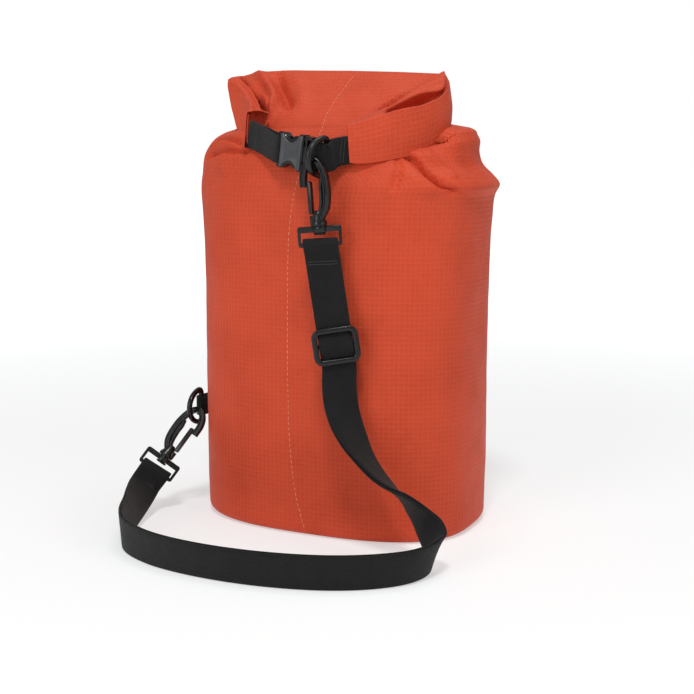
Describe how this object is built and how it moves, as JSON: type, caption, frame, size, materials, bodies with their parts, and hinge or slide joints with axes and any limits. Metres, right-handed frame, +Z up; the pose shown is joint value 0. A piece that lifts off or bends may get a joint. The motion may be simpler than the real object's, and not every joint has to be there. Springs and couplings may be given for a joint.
{
  "type": "dry bag",
  "caption": "Roll-top dry bag with an oval base, side-release buckle closure, D-rings and a webbing shoulder strap held by swivel snap hooks.",
  "frame": {"origin": "middle of the base's flat underside on the ground", "axes": "+X to the right as seen from the buckle side, -Y towards the buckle side, +Z up"},
  "size_m": [0.287, 0.2666, 0.3447],
  "materials": {
    "shell_fabric": "coated ripstop with a slight sheen",
    "base_fabric": "coated, slightly heavier than the shell",
    "seam_tape": "thin translucent heat-bonded film",
    "strip_plastic": "flexible strip inside the mouth",
    "webbing": "woven, matt",
    "hardware_plastic": "moulded acetal, satin",
    "buckle_plastic": "moulded acetal, satin, lighter grey"
  },
  "bodies": {
    "bag": {"bag_body": "shell_fabric", "base_panel": "base_fabric", "base_seam_tape": "seam_tape", "upright_seam_tape": "seam_tape", "mouth_roll_back": "shell_fabric", "mouth_roll_right": "shell_fabric", "mouth_stiffener": "strip_plastic", "buckle_male": "hardware_plastic", "closure_webbing_right": "webbing", "tab_patch": "base_fabric", "ring_tab": "webbing", "swivel_loop_upper": "hardware_plastic", "swivel_loop_lower": "hardware_plastic", "shoulder_strap": "webbing", "strap_return": "webbing"},
    "closure_left": {"mouth_roll_left": "shell_fabric", "closure_webbing_left": "webbing", "buckle_female": "buckle_plastic"},
    "latch_upper": {"latch_arm_upper": "hardware_plastic"},
    "latch_lower": {"latch_arm_lower": "hardware_plastic"},
    "ring_upper": {"d_ring_upper": "hardware_plastic"},
    "ring_lower": {"d_ring_lower": "hardware_plastic"},
    "slider": {"strap_slider": "hardware_plastic", "strap_return_end": "webbing"},
    "hook_upper_body": {"hook_upper": "hardware_plastic"},
    "hook_lower_body": {"hook_lower": "hardware_plastic"},
    "gate_upper": {"hook_gate_upper": "hardware_plastic"},
    "gate_lower": {"hook_gate_lower": "hardware_plastic"}
  },
  "joints": [
    {"name": "buckle_release", "type": "slide", "parent": "bag", "child": "closure_left", "axis": [-0.958, 0.2503, 0.1401], "range_m": [0, 0.03], "deforming": ["latch_arm_upper", "latch_arm_lower"]},
    {"name": "latch_squeeze", "type": "hinge", "parent": "bag", "child": "latch_upper", "pos_m": [0.01196, -0.08799, 0.29453], "axis": [-0.2528, -0.9675, 0], "range_deg": [0, 12]},
    {"name": "latch_squeeze_lower", "type": "hinge", "parent": "bag", "child": "latch_lower", "pos_m": [0.00996, -0.08746, 0.27987], "axis": [-0.2528, -0.9675, 0], "range_deg": [-12, 0]},
    {"name": "upper_ring_turn", "type": "hinge", "parent": "bag", "child": "ring_upper", "pos_m": [0.02419, -0.08606, 0.28545], "axis": [0.1356, -0.0354, 0.9901], "range_deg": [-3, 3]},
    {"name": "lower_ring_turn", "type": "hinge", "parent": "bag", "child": "ring_lower", "pos_m": [-0.1172, -0.029, 0.082], "axis": [0, 0, 1], "range_deg": [-6, 6]},
    {"name": "slider_adjust", "type": "slide", "parent": "bag", "child": "slider", "axis": [-0.1553, -0.0229, 0.9876], "range_m": [0, 0.04]},
    {"name": "upper_hook_swivel", "type": "hinge", "parent": "bag", "child": "hook_upper_body", "pos_m": [0.02287, -0.09352, 0.23728], "axis": [-0.047, -0.068, 0.9966], "range_deg": [-4, 10]},
    {"name": "lower_hook_swivel", "type": "hinge", "parent": "bag", "child": "hook_lower_body", "pos_m": [-0.134, -0.05881, 0.04341], "axis": [0.4204, 0.4705, 0.7758], "range_deg": [-20, 20]},
    {"name": "upper_gate_open", "type": "hinge", "parent": "hook_upper_body", "child": "gate_upper", "pos_m": [0.01723, -0.09396, 0.24652], "axis": [0.0348, 0.997, 0.0696], "range_deg": [0, 14]},
    {"name": "lower_gate_open", "type": "hinge", "parent": "hook_lower_body", "child": "gate_lower", "pos_m": [-0.12536, -0.05467, 0.04846], "axis": [0.1602, -0.8801, 0.4469], "range_deg": [0, 14]}
  ],
  "couplings": [
    {"joint": "latch_squeeze_lower", "follows": "latch_squeeze", "ratio": -1}
  ]
}
